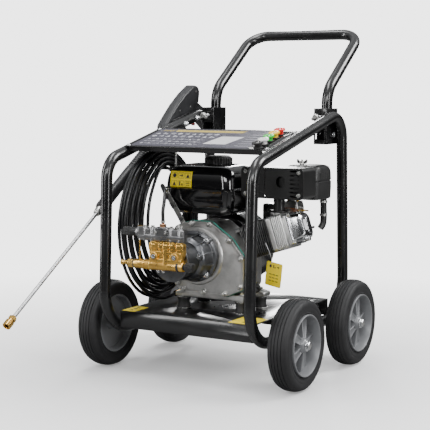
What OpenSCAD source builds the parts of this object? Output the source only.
// Petrol pressure washer on a four-wheel tube cart. Units are millimetres, +Z is up.
// Every module draws in cart coordinates: x = 0 is the centre plane, y = 0 is midway between the
// axles, z = 0 is the ground, -Y is the pump end and +Y is the handle end. at_cart() then moves the
// piece so that the origin is at the centre of the whole object's footprint.

/* [Frame] */
// Outside radius of the frame and handle tubes
tube_r = 16; // [14:0.5:16]
// Wall thickness of the tubes
tube_wall = 1.5; // [1:0.25:2.5]
// Centre plane to the middle of each side hoop
hoop_x = 227.7; // [227:0.1:232]
// Front leg of a hoop, at axle height
hoop_front_y = -312.5; // [-316:0.5:-310]
// Rear leg of a hoop, at axle height
hoop_rear_y = 291.5; // [288:0.5:300]
// Height of the rails' front corner
rail_front_z = 603; // [600:1:606]
// Height of the rails' rear corner
rail_rear_z = 737; // [734:1:740]
// Top of the deck
deck_z = 180; // [178:0.5:181]
// Handle legs: distance from the centre plane
handle_x = 189.6; // [189:0.1:190]
// Handle legs: distance behind the middle of the cart
handle_y = 239.8; // [238:0.1:242]
// Height where the handle bends rearward
handle_bend_z = 795; // [785:1:800]
// Height of the handle's grip bar
handle_top_z = 972.3; // [950:0.1:980]
// Grip bar's distance behind the middle of the cart
handle_top_y = 479.9; // [470:0.1:490]

/* [Wheels] */
// Wheel radius, which is also the height of the axles
wheel_r = 125; // [125:1:126]
// Distance between the two axles
wheelbase = 360.6; // [356:0.2:364]
// Centre plane to the middle of each wheel
wheel_x = 302.4; // [300:0.1:306]
// Half width of the tyre
tyre_half = 31.4; // [28:0.1:31.4]
// Radius of the rim under the tyre
rim_r = 83.7; // [82:0.1:85]
// Radius of the axles
axle_r = 8; // [7:0.25:8]

/* [Engine] */
// Crankshaft axis, left of the centre plane when negative
crank_x = -25; // [-26:0.5:-24]
// Height of the crankshaft axis
crank_z = 336; // [335:0.5:337]
// Slope of the cylinder above the horizontal
cyl_tilt = 18; // [18:0.5:19]

/* [Lance and hose] */
// Slope of the stored gun and lance above the horizontal
lance_tilt = 32.8; // [32:0.1:33.2]
// Centre plane to the stored gun
lance_x = 271; // [271:0.5:274]
// Radius of the steel lance tube
lance_r = 5; // [4:0.25:6]
// Outside diameter of the high pressure hose
hose_d = 9.5; // [8:0.25:9.5]

/* [Hidden] */

$fn = 64;
gap = 0.3;                       // clearance between bodies that move past each other
fit = 0.05;                      // radial clearance of a running fit
axle_z = wheel_r;
rail_front_y = hoop_front_y + 0.037 * (rail_front_z - axle_z);
rail_rear_y = hoop_rear_y - 0.05 * (rail_rear_z - axle_z);
rail_tilt = atan2(rail_rear_z - rail_front_z, rail_rear_y - rail_front_y);
hoop_in = hoop_x - tube_r - gap; // half the clear width between the hoops
front_y = -wheelbase / 2;
rear_y = wheelbase / 2;

hook_y = -34;                    // hose hook, just in front of the panel's rear edge
pivot_z = 668;                   // handle's pivot bolt
knob_z = 721;                    // handle's clamp screws
bolt_r = 4;                      // M8 fasteners
cyl_y = -40;                     // plane of the cylinder's axis
cover_y = -150;                  // front face of the crankcase cover
tank = [[-165, -125, 446], [70, 75, 586]];
cap_xy = [crank_x, -30];
guard = [[76, -80, 500], [268, 0, 586]];
cleaner = [[156, 12, 492], [268, 122, 588]];
pump_y = -305;                   // plane of the pump's outlet tube
outlet_z = 327;
inlet_z = 413;
inlet_y = -300;
collar_r = 11.5;                 // quick coupler's sliding collar
tip_y = -678;                    // open end of the lance
lance_z0 = 454.5;                // height of the lance's axis where it crosses y = lance_y0
lance_y0 = -284;
tip_s = (tip_y - lance_y0) / cos(lance_tilt);
coil_x = [-209, -175];           // hose coil, between the left hoop and the engine
coil_mid = [-85, 412];
coil_half = [208, 224];
hole_mid = [-45, 424];
hole_half = [110, 150];
nozzle_x = 190;
front_end = tip_y - collar_r * sin(lance_tilt);
rear_end = handle_top_y + tube_r;
cart_y = -(front_end + rear_end) / 2;

module at_cart() { translate([0, cart_y, 0]) children(); }
module xcyl(x0, x1, r) { translate([x0, 0, 0]) rotate([0, 90, 0]) cylinder(h = x1 - x0, r = r); }
module ycyl(y0, y1, r) { translate([0, y0, 0]) rotate([-90, 0, 0]) cylinder(h = y1 - y0, r = r); }
module block(a, b) { translate(a) cube(b - a); }
// A plate cut from an outline in the XZ plane, from y0 to y1
module xz_plate(y0, y1) { translate([0, y1, 0]) rotate([90, 0, 0]) linear_extrude(y1 - y0) children(); }
// A plate cut from an outline in the YZ plane, from x0 to x1
module yz_plate(x0, x1) { translate([x0, 0, 0]) rotate([90, 0, 90]) linear_extrude(x1 - x0) children(); }
module at_crank() { translate([crank_x, 0, crank_z]) children(); }
// Local X runs out along the cylinder's axis
module on_cylinder() { translate([crank_x, cyl_y, crank_z]) rotate([0, -cyl_tilt, 0]) children(); }
// Local Y runs up along the rails, local Z is normal to them, from the rails' centre plane
module on_rails() { translate([0, rail_front_y, rail_front_z]) rotate([rail_tilt, 0, 0]) children(); }
// Local X runs up along the lance's axis
module on_lance() {
    translate([-lance_x, lance_y0, lance_z0]) rotate([lance_tilt, 0, 0]) rotate([0, 0, 90]) children();
}
// A box with its four upright edges chamfered by c
module chamfered(a, b, c) {
    translate([0, 0, a.z]) linear_extrude(b.z - a.z) polygon([
        [a.x + c, a.y], [b.x - c, a.y], [b.x, a.y + c], [b.x, b.y - c],
        [b.x - c, b.y], [a.x + c, b.y], [a.x, b.y - c], [a.x, a.y + c]]);
}

function unit(v) = v / norm(v);
function left_of(v) = [-v.y, v.x];
function turn(p, q, s) = let(a = unit(q - p), b = unit(s - q)) atan2(a.x * b.y - a.y * b.x, a * b);
function cut(p, q, s, r) = r * tan(abs(turn(p, q, s)) / 2);
rod_lap = 0.5;                   // how far a straight rod runs into the bends at its ends
rod_step = 0.05;                 // how much thinner a bend is than the straight rod
// A straight rod of radius r in the XY plane
module rod_run(p, q, r) {
    d = q - p;
    translate([p.x, p.y, 0]) rotate([0, 90, atan2(d.y, d.x)])
        translate([0, 0, -rod_lap]) cylinder(h = norm(d) + 2 * rod_lap, r = r);
}
// The bend of a rod of radius r at q, between p and s, with centre-line radius bend
module rod_bend(p, q, s, bend, r) {
    a = unit(q - p);
    t = turn(p, q, s);
    from = q - a * cut(p, q, s, bend);
    mid = from + left_of(a) * sign(t) * bend;
    out = from - mid;
    translate([mid.x, mid.y, 0]) rotate(atan2(out.y, out.x) + min(t, 0))
        rotate_extrude(angle = abs(t)) translate([bend, 0]) circle(r - rod_step);
}
// A closed loop of rod through corners c with bend radii bends
module rod_loop(c, bends, r) {
    n = len(c);
    for (i = [0 : n - 1]) {
        p = c[(i + n - 1) % n];
        q = c[i];
        s = c[(i + 1) % n];
        v = c[(i + 2) % n];
        along = unit(s - q);
        rod_bend(p, q, s, bends[i], r);
        rod_run(q + along * cut(p, q, s, bends[i]), s - along * cut(q, s, v, bends[(i + 1) % n]), r);
    }
}

// ---- Frame ----
hoop_corners = [[hoop_front_y, axle_z], [hoop_rear_y, axle_z],
                [rail_rear_y, rail_rear_z], [rail_front_y, rail_front_z]];
hoop_bends = [115, 115, 65, 65];
holder_s = [400, 468];           // holder bolts, along the left rail
module hoop() {
    difference() {
        rotate([90, 0, 90]) rod_loop(hoop_corners, hoop_bends, tube_r);
        rotate([90, 0, 90]) rod_loop(hoop_corners, hoop_bends, tube_r - tube_wall);
        for (y = [front_y, rear_y]) translate([0, y, axle_z]) xcyl(-30, 30, axle_r + fit);
    }
}
module hoop_right() { color("#151515") at_cart() translate([hoop_x, 0, 0]) hoop(); }
module hoop_left() {
    color("#151515") at_cart() difference() {
        translate([-hoop_x, 0, 0]) hoop();
        on_rails() for (s = holder_s) translate([-hoop_x, s, 0]) xcyl(-30, 30, bolt_r + fit);
    }
}
deck_front = -258;
deck_rear = 218;
deck_t = 3;
mounts_xy = [for (x = [-84, 104], y = [-122, -12]) [x, y]];
module base_deck() {
    color("#202020") at_cart() difference() {
        union() {
            block([-hoop_in, deck_front, deck_z - deck_t], [hoop_in, deck_rear, deck_z]);
            for (y = [deck_front, deck_rear - deck_t])
                block([-hoop_in, y, deck_z - 48], [hoop_in, y + deck_t, deck_z]);
            for (y = [deck_front, deck_rear - 15])
                block([-hoop_in, y, deck_z - 48], [hoop_in, y + 15, deck_z - 45]);
        }
        for (m = mounts_xy) translate([m.x, m.y, deck_z - 10]) cylinder(h = 20, r = bolt_r + fit);
    }
}
panel_s = [89, 281];
panel_t = 2;
nozzle_pitch = 33;
nozzle_s = [for (i = [0 : 4]) panel_s[0] + 18 + nozzle_pitch * i];
module top_panel() {
    color("#1c1c1c") at_cart() on_rails() difference() {
        union() {
            block([-224, panel_s[0], tube_r], [224, panel_s[1], tube_r + panel_t]);
            block([-hoop_in, panel_s[0], tube_r - 13], [hoop_in, panel_s[0] + panel_t, tube_r]);
            block([-hoop_in, panel_s[1] - panel_t, tube_r - 9], [hoop_in, panel_s[1], tube_r]);
        }
        for (s = nozzle_s) translate([nozzle_x, s, 0]) cylinder(h = 40, r = 6);
    }
}
module hose_hook() {
    hook_x = coil_x[1] + 8;
    top_z = rail_front_z + (hook_y - rail_front_y) * tan(rail_tilt) + tube_r / cos(rail_tilt) - 1.5;
    color("#202020") at_cart() translate([0, hook_y, 0]) {
        translate([hook_x, 0, 568]) cylinder(h = top_z - 568, r = 4);
        translate([0, 0, 568]) xcyl(coil_x[0], hook_x, 4);
        translate([hook_x, 0, 568]) sphere(4);
    }
}
// A spray nozzle: a steel plug in the panel's hole and a coloured plastic collar above it
module nozzle(i) {
    at_cart() on_rails() translate([nozzle_x, nozzle_s[i], tube_r + panel_t]) {
        translate([0, 0, gap / 2]) cylinder(h = 17, r = 10);
        translate([0, 0, 11]) cylinder(h = 6, r = 15.5);
        translate([0, 0, -18]) cylinder(h = 18 + gap, r = 5.9);
    }
}
module nozzle_black() { color("#181818") nozzle(0); }
module nozzle_white() { color("#e8e8e8") nozzle(1); }
module nozzle_green() { color("#1e9a3c") nozzle(2); }
module nozzle_yellow() { color("#f0c414") nozzle(3); }
module nozzle_red() { color("#c81e1e") nozzle(4); }

// ---- Handle ----
handle_bend = 80;                // radius of the bend in each leg
handle_corner = 62;              // radius of the two upper corners
handle_foot_z = 652;
handle_run = norm([handle_top_y - handle_y, handle_top_z - handle_bend_z]);
handle_rise = atan2(handle_top_z - handle_bend_z, handle_top_y - handle_y);
// The handle's centre line thickened to radius r, with extra length at its two feet
module handle_rod(r, extra) {
    leg = [[handle_y, handle_foot_z + rod_lap - extra], [handle_y, handle_bend_z],
           [handle_top_y, handle_top_z]];
    c = cut(leg[0], leg[1], leg[2], handle_bend);
    top = [[-handle_x, 0], [-handle_x, handle_run], [handle_x, handle_run], [handle_x, 0]];
    for (x = [-handle_x, handle_x]) translate([x, 0, 0]) rotate([90, 0, 90]) {
        rod_run(leg[0], leg[1] - [0, c], r);
        rod_bend(leg[0], leg[1], leg[2], handle_bend, r);
    }
    translate([0, handle_y, handle_bend_z]) rotate([handle_rise, 0, 0]) {
        for (x = [-handle_x, handle_x]) rod_run([x, c], [x, handle_run - handle_corner], r);
        for (i = [1, 2]) rod_bend(top[i - 1], top[i], top[i + 1], handle_corner, r);
        rod_run([handle_corner - handle_x, handle_run], [handle_x - handle_corner, handle_run], r);
    }
}
module handle() {
    color("#151515") at_cart() difference() {
        handle_rod(tube_r, 0);
        handle_rod(tube_r - tube_wall, 1);
        translate([0, handle_y, pivot_z]) xcyl(-250, 250, bolt_r + fit);
    }
}
bracket_y = [192, 268];
bracket_z = [640, 745];
plate_t = 3;
plate_in = handle_x - tube_r - plate_t - 0.8;   // inner face of the inner plate
module bracket(side) {
    color("#121212") at_cart() difference() {
        for_side(side) union() {
            block([plate_in, bracket_y[0], bracket_z[0]], [plate_in + plate_t, bracket_y[1], bracket_z[1]]);
            block([handle_x + tube_r + 0.8, bracket_y[0], bracket_z[0]],
                [hoop_in, bracket_y[1], bracket_z[1]]);
            block([plate_in, bracket_y[0], bracket_z[0]], [hoop_in, handle_y, bracket_z[0] + plate_t]);
            block([plate_in, bracket_y[0], 700], [hoop_in, bracket_y[0] + plate_t, bracket_z[1]]);
        }
        translate([0, handle_y, pivot_z]) xcyl(-250, 250, bolt_r + fit);
        translate([side * handle_x, 0, knob_z]) ycyl(bracket_y[0] - 5, bracket_y[0] + 5, bolt_r + fit);
        for_side(side) block([plate_in - 1, 199, 655], [plate_in + 4, 211, 695]);
    }
}
module for_side(side) { if (side > 0) children(); else mirror([1, 0, 0]) children(); }
module bracket_left() { bracket(-1); }
module bracket_right() { bracket(1); }
// A wing screw that clamps the handle's leg from the front
module lock_knob(side) {
    color("#8c8c8c") at_cart() translate([side * handle_x, 0, knob_z]) {
        ycyl(168, handle_y - tube_r - gap, bolt_r);
        ycyl(156, 170, 9);
        for (a = [35, 145]) rotate([0, a, 0]) {
            block([0, 158, -3], [11, 168, 3]);
            translate([11, 0, 0]) ycyl(158, 168, 4);
        }
    }
}
module lock_knob_left() { lock_knob(-1); }
module lock_knob_right() { lock_knob(1); }
// Bolt with a hexagonal head at x0 and a nut at x1
module hex_bolt(x0, x1) {
    xcyl(min(x0, x1), max(x0, x1), bolt_r);
    for (x = [x0, x1]) translate([x, 0, 0]) rotate([0, 90, 0])
        cylinder(h = 6, r = 7.5, center = true, $fn = 6);
}
module frame_bolts() {
    head = 3 + gap / 2;          // middle of a head or nut from the face it sits on
    color("#c8c8c8") at_cart() {
        for (s = [-1, 1]) translate([0, handle_y, pivot_z])
            hex_bolt(s * (plate_in - head), s * (hoop_in + head));
        on_rails() for (s = holder_s) translate([0, s, 0])
            hex_bolt(-(hoop_x - tube_r - head), -(hoop_x + tube_r + plate_t + head));
    }
}
// Plate bolted to the outside of the left rail, with a cradle under the gun's housing
module gun_holder() {
    x_out = -(hoop_x + tube_r + gap);
    side = x_out + lance_x;      // the plate's inner face, sideways from the lance's axis
    floor_z = -28.1;             // cradle's upper face, below the lance's axis
    color("#181818") at_cart() difference() {
        union() {
            on_rails() yz_plate(x_out - plate_t + gap, x_out)
                polygon([[385, -14], [396, -36], [436, -36], [450, -14], [485, -14], [485, 14], [385, 14]]);
            on_lance() {
                block([440, -side, floor_z - plate_t], [470, 24, floor_z]);
                block([440, 21, floor_z - plate_t], [470, 24, -10]);
            }
        }
        on_rails() for (s = holder_s) translate([-hoop_x, s, 0]) xcyl(-30, 0, bolt_r + fit);
    }
}

// ---- Wheels ----
tread = [for (i = [-5 : 5]) i];
// Crown height of the tread at distance u from the wheel's middle plane
function crown(u) = wheel_r - (wheel_r - 107.4) * pow(abs(u) / tyre_half, 3.2);
module tyre(side, y) {
    groove = 1.4;
    pts = concat([[rim_r, -27], [96, -30.5], [107.4, -tyre_half]],
        [for (i = tread) each [[crown(i * 5.4 - 2), i * 5.4 - 2], [crown(i * 5.4 + 2), i * 5.4 + 2],
            [crown(i * 5.4 + 2.3) - groove, i * 5.4 + 2.3], [crown(i * 5.4 + 3.1) - groove, i * 5.4 + 3.1]]],
        [[107.4, tyre_half], [96, 30.5], [rim_r, 27]]);
    color("#202020") at_cart() translate([side * wheel_x, y, wheel_r]) rotate([0, 90, 0])
        rotate_extrude($fn = 96) polygon(pts);
}
module tyre_fl() { tyre(-1, front_y); }
module tyre_fr() { tyre(1, front_y); }
module tyre_rl() { tyre(-1, rear_y); }
module tyre_rr() { tyre(1, rear_y); }
hub_half = 30;
module rim(side, y) {
    rr = rim_r - gap / 2;
    color("#8a8c8e") at_cart() translate([side * wheel_x, y, wheel_r]) rotate([0, side * 90, 0]) {
        rotate_extrude($fn = 96) polygon([[rr, -27], [rr, 27], [rr, 33.3], [rr - 4, 33.3], [rr - 7, 27],
            [rr - 9, 6], [rr - 7, -27]]);
        difference() {
            translate([0, 0, -hub_half]) cylinder(h = 2 * hub_half, r = 22);
            translate([0, 0, -hub_half - 1]) cylinder(h = 2 * hub_half + 2, r = axle_r + fit);
        }
        rotate_extrude($fn = 96) polygon([[21, 4], [21, 9], [rr - 8.6, 3], [rr - 8.2, -2]]);
        for (a = [0 : 72 : 359]) rotate(a)
            rotate([90, 0, 0]) linear_extrude(14, center = true)
                polygon([[20, 8], [20, 26], [rr - 8.5, 12], [rr - 8.3, 2]]);
    }
}
module rim_fl() { rim(-1, front_y); }
module rim_fr() { rim(1, front_y); }
module rim_rl() { rim(-1, rear_y); }
module rim_rr() { rim(1, rear_y); }
axle_end = wheel_x + hub_half + 10;
module axle(y) {
    color("#a8a8a8") at_cart() translate([0, y, axle_z]) {
        xcyl(-axle_end, axle_end, axle_r);
        for (s = [-1, 1])       // shoulder collars that keep the wheels off the frame
            xcyl(min(s * 246, s * (wheel_x - hub_half - gap)),
                max(s * 246, s * (wheel_x - hub_half - gap)), 13);
    }
}
module axle_front() { axle(front_y); }
module axle_rear() { axle(rear_y); }
module axle_nuts() {
    color("#d8d8d8") at_cart() for (s = [-1, 1], y = [front_y, rear_y]) translate([s * wheel_x, y, axle_z])
        rotate([0, s * 90, 0]) difference() {
            translate([0, 0, hub_half + gap]) union() {
                cylinder(h = 2, r = 15);
                cylinder(h = 8.5, r = 11.5, $fn = 6);
            }
            cylinder(h = 60, r = axle_r);
        }
}

// ---- Engine ----
mount_h = 34;
module rubber_mounts() {
    color("#303030") at_cart() for (m = mounts_xy) translate([m.x, m.y, deck_z]) difference() {
        cylinder(h = mount_h, r = 19);
        translate([0, 0, -1]) cylinder(h = mount_h + 2, r = bolt_r + fit);
    }
}
// Outline of the crankcase and its cover, about the crankshaft
case_outline = [[-69, -89], [-49, -108], [91, -110], [147, -84], [147, 4], [109, 52], [42, 97],
                [-23, 97], [-73, 81]];
shaft_r = 13;
module crankcase() {
    color("#b9b7b2") at_cart() {
        at_crank() difference() {
            union() {
                xz_plate(cover_y + 14.5, -32) polygon(case_outline);
                ycyl(-32, 8, 80);
                block([mounts_xy[0].x - crank_x - 22, cover_y + 14.5, deck_z + mount_h - crank_z],
                      [mounts_xy[3].x - crank_x + 22, 10, -107]);
            }
            ycyl(cover_y, 20, shaft_r + fit);
        }
        at_dipstick() cylinder(h = 20.7, r = 13);
        difference() {
            on_cylinder() union() {
                xcyl(110, 205, 40);
                for (i = [0 : 9]) translate([124 + 8 * i, -49, -50]) cube([2.6, 98, 100]);
            }
            at_crank() ycyl(-95, 20, shaft_r + fit);
        }
    }
}
module side_cover() {
    color("#c4c2bc") at_cart() at_crank() difference() {
        union() {
            xz_plate(cover_y, cover_y + 13) polygon(case_outline);
            for (b = [[-62, 74], [-18, 90], [40, 90], [103, 48], [140, 0], [138, -78], [88, -102],
                      [20, -102], [-44, -98], [-62, -80]])
                translate([b.x, 0, b.y]) ycyl(cover_y - 5, cover_y + 12, 8);
            ycyl(cover_y - 3, cover_y + 5, 80);
        }
        ycyl(cover_y - 20, cover_y + 20, shaft_r + fit);
    }
}
head_x = [205.3, 262];           // cylinder head, along the cylinder's axis
head_side = 38;                  // its face with the spark plug
plug_tilt = 40;
port_x = 176;
port_z = 459;                    // exhaust port's face
inlet_port = [183, 452];         // axis of the inlet port
module cylinder_head() {
    boss_z = 437;                // exhaust boss starts inside the head, above the barrel's flange
    color("#a9a8a4") at_cart() difference() {
        union() {
            on_cylinder() {
                translate([head_x[0], -48, -50]) cube([14, 96, 100]);
                translate([head_x[0] + 10, -36, -42]) cube([head_x[1] - head_x[0] - 10, 36 + head_side, 84]);
                for (i = [0 : 3]) translate([head_x[0] + 19 + 8 * i, -48, -50]) cube([2.6, 90, 100]);
            }
            translate([port_x, cyl_y, boss_z]) cylinder(h = port_z - boss_z, r = 17.5);
            translate([inlet_port.x, 0, inlet_port.y]) ycyl(-12, 8.7, 15);
        }
        on_plug() ycyl(-12, 30, 7 + fit);
    }
}
module rocker_cover() {
    color("#b4b4b2") at_cart() on_cylinder() {
        translate([head_x[1] + gap / 2, -38, -44]) cube([4, 78, 88]);
        translate([head_x[1] + 4, -33, -38]) cube([36, 68, 76]);
        translate([head_x[1] + 30, -15, -38]) xcyl(0, 12, 6);
    }
}
// Local Y runs out along the spark plug, which leans away from the cylinder
module on_plug() {
    on_cylinder() translate([head_x[1] - 26, head_side, -8]) rotate(-plug_tilt) children();
}
// Plug, boot and lead: the lead turns back along the cylinder and ends at the fan housing
module spark_plug() {
    boot_end = 50;
    bend = 22;
    wire_r = 3.5;
    wire_len = 142.5;
    color("#141414") at_cart() on_plug() {
        ycyl(-11.7, 15, 7);
        ycyl(14, boot_end + rod_lap, 10.5);
        translate([-bend, boot_end, 0]) {
            rotate_extrude(angle = 90 + plug_tilt) translate([bend, 0]) circle(wire_r - rod_step);
            rotate(plug_tilt) translate([0, bend, 0]) xcyl(-wire_len, rod_lap, wire_r);
        }
    }
}
module fuel_tank() {
    seam = 518;
    color("#101010") at_cart() difference() {
        union() {
            chamfered([tank[0].x + 8, tank[0].y + 8, tank[0].z], [tank[1].x - 8, tank[1].y - 8, seam], 22);
            chamfered([tank[0].x, tank[0].y, seam - 2], [tank[1].x, tank[1].y, seam + 3], 26);
            chamfered([tank[0].x + 8, tank[0].y + 8, seam],
                [tank[1].x - 8, tank[1].y - 8, tank[1].z - 8], 22);
            chamfered([tank[0].x + 18, tank[0].y + 18, tank[1].z - 9],
                [tank[1].x - 18, tank[1].y - 18, tank[1].z], 24);
            translate([cap_xy.x, cap_xy.y, tank[1].z]) cylinder(h = 14, r = 24);
        }
        chamfered([tank[0].x + 12, tank[0].y + 12, tank[0].z + 4],
            [tank[1].x - 12, tank[1].y - 12, tank[1].z - 12], 20);
        translate([cap_xy.x, cap_xy.y, tank[1].z - 20]) cylinder(h = 40, r = 21);
    }
}
module fuel_cap() {
    color("#121212") at_cart() translate([cap_xy.x, cap_xy.y, tank[1].z + gap]) difference() {
        union() {
            cylinder(h = 25, r = 37);
            for (a = [0 : 30 : 359]) rotate(a) translate([36, 0, 0]) cylinder(h = 25, r = 4);
        }
        translate([0, 0, -1]) cylinder(h = 16, r = 24 + fit);
    }
}
module muffler() {
    color("#1a1a1a") at_cart() {
        chamfered([guard[0].x + 12, guard[0].y + 14, guard[0].z + 6],
            [guard[1].x - 12, guard[1].y - 2, guard[1].z - 8], 10);
        translate([port_x, cyl_y, port_z + gap]) cylinder(h = 55, r = 16);
    }
}
module muffler_guard() {
    t = 2;
    color("#161616") at_cart() difference() {
        block(guard[0], guard[1]);
        block(guard[0] + [t, t, t], guard[1] - [t, -t, t]);
        block([guard[0].x + 8, guard[0].y + 10, guard[0].z - 5],
            [guard[1].x - 8, guard[1].y + 1, guard[0].z + 5]);
        translate([205, 0, 0]) for (i = [0 : 5])
            block([20, guard[0].y - 1, 508 + 10 * i], [40, guard[0].y + 5, 513 + 10 * i]);
        translate([198, guard[0].y + 5, 535]) rotate([90, 0, 0]) cylinder(h = 10, r = 16);
    }
}
module air_cleaner() {
    color("#141414") at_cart() {
        chamfered(cleaner[0], cleaner[1], 16);
        block([232, 96, 404], [256, 116, cleaner[0].z]);
    }
}
module air_wing_nut() {
    color("#c4c4c4") at_cart() translate([196, 62, cleaner[1].z + gap]) {
        cylinder(h = 8, r = 5);
        for (s = [-1, 1]) translate([s * 8, 0, 8]) rotate([90, 0, 0]) cylinder(h = 3, r = 6, center = true);
    }
}
module carburettor() {
    color("#9a9a98") at_cart() {
        block([160, 14, 432], [206, 60, 486]);
        translate([inlet_port.x, 38, 424]) cylinder(h = 10, r = 17);
        translate([inlet_port.x, 0, inlet_port.y]) ycyl(9, 15, 16);
        translate([inlet_port.x, 38, 485]) cylinder(h = 6.8, r = 15);
    }
}
lever_pivot = [118, 84, 470];
module throttle_lever() {
    color("#161616") at_cart() translate(lever_pivot) {
        translate([0, 0, gap]) cylinder(h = 3, r = 8);
        translate([0, -4, gap]) cube([46, 8, 3]);
        translate([44, 0, gap]) cylinder(h = 12, r = 7);
    }
}
switch_at = [-112, 2];           // stop switch's pin, from the crankshaft
module fan_housing() {
    color("#161616") at_cart() at_crank() difference() {
        union() {
            ycyl(12, 112, 108);
            block([66 - crank_x, 70, 50], [lever_pivot.x + 10 - crank_x, 108, lever_pivot.z - crank_z]);
            block([-118, 50, -20], [-90, 100, 30]);
        }
        ycyl(16, 113, 98);
        ycyl(0, 20, 30);
        block([-130, 62, -10], [-104, 90, 14]);
        translate([switch_at.x, 0, switch_at.y]) ycyl(57, 95, 2 + fit);
    }
}
grip_at = [-60, 40];             // starter rope's outlet, from the crankshaft
module recoil_cover() {
    color("#181818") at_cart() at_crank() difference() {
        union() {
            ycyl(112, 120, 106);
            ycyl(118, 150, 84);
        }
        ycyl(110, 146, 76);
        for (a = [0 : 30 : 359]) rotate([0, a, 0]) translate([56, 0, 0]) ycyl(140, 160, 7);
        translate([grip_at.x, 136, grip_at.y]) ycyl(0, 20, 4);
    }
}
module starter_grip() {
    color("#141414") at_cart() at_crank() translate([grip_at.x, 0, grip_at.y]) {
        block([-22, 158, -7], [22, 172, 7]);
        ycyl(150 + gap, 159, 7);
    }
}
module crankshaft() {
    color("#9b9b9b") at_cart() at_crank() {
        ycyl(-228, 60, shaft_r);
        ycyl(26, 46, 88);
        ycyl(45, 62, 40);
    }
}
// The oil filler's neck points out and up from the crankcase's lower corner
module at_dipstick() { translate([122, -112, 244]) rotate([0, 62, 0]) translate([0, 0, -12]) children(); }
module dipstick() {
    color("#101010") at_cart() at_dipstick() translate([0, 0, 21]) {
        cylinder(h = 20, r = 15);
        cylinder(h = 28, r = 8);
    }
}
module engine_switch() {
    color("#b01818") at_cart() at_crank() translate([switch_at.x, 0, switch_at.y]) {
        block([-7, 64, -9], [4, 88, 9]);
        ycyl(58, 94, 2);
    }
}

// ---- Pump ----
module pump_body() {
    color("#6e6f72") at_cart() at_crank() difference() {
        union() {
            ycyl(-215, cover_y - 5 - gap, 62);
            ycyl(-168, cover_y - 5 - gap, 72);
            ycyl(head[1].y + gap, -214, 49);
            ycyl(head[1].y + gap, head[1].y + 12, 56);
            for (a = [45 : 90 : 359]) rotate([0, a, 0])
                translate([66, 0, 0]) ycyl(-178, cover_y - 5 - gap, 9);
        }
        ycyl(-230, -140, shaft_r + fit);
    }
}
head = [[-80, -318, 314], [28, -290.3, 392]];
module pump_head() {
    color("#c99436") at_cart() {
        difference() {
            block(head[0], head[1]);
            for (x = [-61, 4]) translate([x, 0, 352]) ycyl(-330, -310, 6.5);
        }
        for (x = [-61, 4]) translate([x, 0, 352]) ycyl(-317, -300, 6);
        translate([0, pump_y, outlet_z]) {
            xcyl(-130, 22, 13.5);
            translate([-148, 0, 0]) rotate([0, 90, 0]) cylinder(h = 19, r = 12, $fn = 6);
            xcyl(-166, -147, 7);
            xcyl(-173, -165, 8.5);
        }
    }
}
module pump_manifold() {
    color("#a2a3a5") at_cart() {
        block([-119, -313, head[1].z + gap / 2], [30, -287, 430]);
        translate([0, inlet_y, inlet_z]) xcyl(-150, -118, 10);
        translate([-42, inlet_y, 429]) cylinder(h = 10, r = 8);
        translate([-42, inlet_y, 438]) cylinder(h = 16, r = 3.2);
    }
}
module inlet_cap() {
    color("#161616") at_cart() translate([0, inlet_y, inlet_z]) difference() {
        xcyl(-168, -124, 12.5);
        xcyl(-151, -120, 10 + fit);
    }
}
module unloader_knob() {
    color("#141414") at_cart() translate([0, pump_y, outlet_z]) {
        xcyl(head[1].x + gap, head[1].x + 7, 9);
        xcyl(head[1].x + 6, head[1].x + 29, 13);
    }
}
hose_route = [[-42, inlet_y, 454.2], [-42, inlet_y, 475], [-44, -290, 500], [-60, -262, 525],
              [-90, -225, 535], [-115, -190, 530], [-128, -160, 515], [-134, -140, 500], [-136, -126, 490]];
module relief_hose() { color("#161616") at_cart() tube_along(smooth(hose_route, 4), 3.2, 10); }
function catmull(a, b, c, d, t) =
    0.5 * (2 * b + (c - a) * t + (2 * a - 5 * b + 4 * c - d) * t * t + (3 * b - a - 3 * c + d) * t * t * t);
function smooth(p, n) = let(m = len(p) - 1) concat(
    [for (i = [0 : m - 1], k = [0 : n - 1])
        catmull(p[max(i - 1, 0)], p[i], p[i + 1], p[min(i + 2, m)], k / n)], [p[m]]);
// A round tube of radius r with n sides swept along the points p
module tube_along(p, r, n) {
    m = len(p);
    dir = [for (i = [0 : m - 1]) unit(p[min(i + 1, m - 1)] - p[max(i - 1, 0)])];
    pts = [for (i = [0 : m - 1]) let(u = unit(cross(dir[i], [1, 0.2, 0.1])), v = cross(dir[i], u))
        each [for (k = [0 : n - 1]) p[i] + r * (cos(360 * k / n) * u + sin(360 * k / n) * v)]];
    sides = [for (i = [0 : m - 2], k = [0 : n - 1])
        [i * n + k, i * n + (k + 1) % n, (i + 1) * n + (k + 1) % n, (i + 1) * n + k]];
    caps = [[for (k = [n - 1 : -1 : 0]) k], [for (k = [0 : n - 1]) (m - 1) * n + k]];
    polyhedron(points = pts, faces = concat(caps, sides));
}

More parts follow.
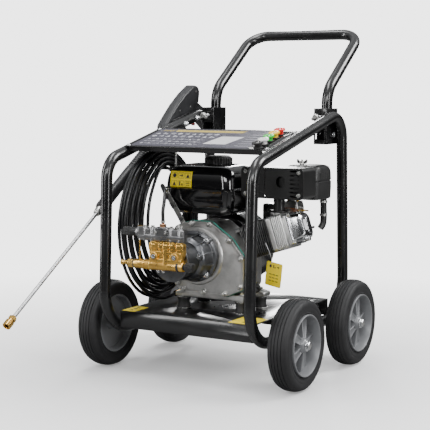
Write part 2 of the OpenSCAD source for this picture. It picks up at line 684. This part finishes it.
// ---- Gun and lance ----
gun_half = 17;
housing = [[402, -20], [440, -27], [474, -27], [500, -37], [560, -41], [612, -30], [634, -6], [635, 14],
           [616, 30], [560, 35], [500, 33], [450, 26], [402, 18]];
grip = [[560, -30], [604, -20], [665, -118], [668, -142], [645, -158], [618, -146]];
guard_loop = [[520, -28], [505, -60], [520, -100], [560, -138], [615, -152], [620, -142], [568, -128],
              [530, -95], [516, -62], [530, -28]];
module gun_plate(half) {
    translate([0, half, 0]) rotate([90, 0, 0]) linear_extrude(2 * half) children();
}
trigger_pivot = [540, -22];
module gun_body() {
    color("#3c3d3f") at_cart() on_lance() difference() {
        union() {
            gun_plate(gun_half) polygon(housing);
            gun_plate(gun_half - 2) polygon(grip);
            gun_plate(7) polygon(guard_loop);
        }
        gun_plate(6) polygon([[528, -45], [528, -12], [556, -12], [572, -45]]);
        translate([392, 0, 0]) xcyl(0, 30, 9.05);
        translate([trigger_pivot.x, 0, trigger_pivot.y]) ycyl(-12, 12, 2.5 + fit);
    }
}
module trigger() {
    color("#a01c1c") at_cart() on_lance() {
        gun_plate(5)
            polygon([[535, -16], [545, -16], [548, -44], [572, -84], [566, -90], [544, -62], [533, -40]]);
        translate([trigger_pivot.x, 0, trigger_pivot.y]) ycyl(-11, 11, 2.5);
    }
}
socket_r = 5.9;
module lance() {
    color("#b8b8b8") at_cart() on_lance() difference() {
        union() {
            xcyl(tip_s + 34, 6, lance_r);
            xcyl(0, 421, 9);
            xcyl(-4, 22, 12);
            xcyl(20, 212, 17.5);
            xcyl(210, 399, 15);
            for (i = [0 : 18]) xcyl(216 + 9.6 * i, 220 + 9.6 * i, 17);
            xcyl(tip_s + 2, tip_s + 36, 8.5);
            xcyl(tip_s + 24, tip_s + 36, 10.5);
        }
        xcyl(tip_s - 5, tip_s + 20, socket_r);
    }
}
module coupler_collar() {
    color("#d0a040") at_cart() on_lance() difference() {
        xcyl(tip_s, tip_s + 19, collar_r);
        xcyl(tip_s - 1, tip_s + 20, 8.5 + fit);
    }
}

// ---- Hose ----
module ellipse(mid, half) { translate(mid) scale([half.x / half.y, 1]) circle(half.y, $fn = 56); }
module hose_coil() {
    color("#121212") at_cart() yz_plate(coil_x[0], coil_x[1]) difference() {
        ellipse(coil_mid, coil_half);
        ellipse(hole_mid, hole_half);
    }
}
// The hose's two end fittings: one beside the coil, one lying inside its loop
module hose_fitting() {
    color("#c9a050") at_cart() {
        translate([coil_x[1] + 9, -40, 200]) hose_end(1);
        translate([(coil_x[0] + coil_x[1]) / 2, -16, 291]) hose_end(-1);
    }
}
// Ferrule, then the threaded body, pointing along +Y or -Y from the end of the hose
module hose_end(dir) {
    for (part = [[0, 24, 8.5], [24, 48, 7.5], [48, 64, 9]])
        ycyl(min(dir * part[0], dir * part[1]), max(dir * part[0], dir * part[1]), part[2]);
}

hoop_left();
hoop_right();
base_deck();
top_panel();
hose_hook();
nozzle_black();
nozzle_white();
nozzle_green();
nozzle_yellow();
nozzle_red();
handle();
bracket_left();
bracket_right();
lock_knob_left();
lock_knob_right();
frame_bolts();
gun_holder();
tyre_fl();
tyre_fr();
tyre_rl();
tyre_rr();
rim_fl();
rim_fr();
rim_rl();
rim_rr();
axle_front();
axle_rear();
axle_nuts();
rubber_mounts();
crankcase();
side_cover();
cylinder_head();
rocker_cover();
spark_plug();
fuel_tank();
fuel_cap();
muffler();
muffler_guard();
air_cleaner();
air_wing_nut();
carburettor();
throttle_lever();
fan_housing();
recoil_cover();
starter_grip();
crankshaft();
dipstick();
engine_switch();
pump_body();
pump_head();
pump_manifold();
inlet_cap();
unloader_knob();
relief_hose();
gun_body();
trigger();
lance();
coupler_collar();
hose_coil();
hose_fitting();
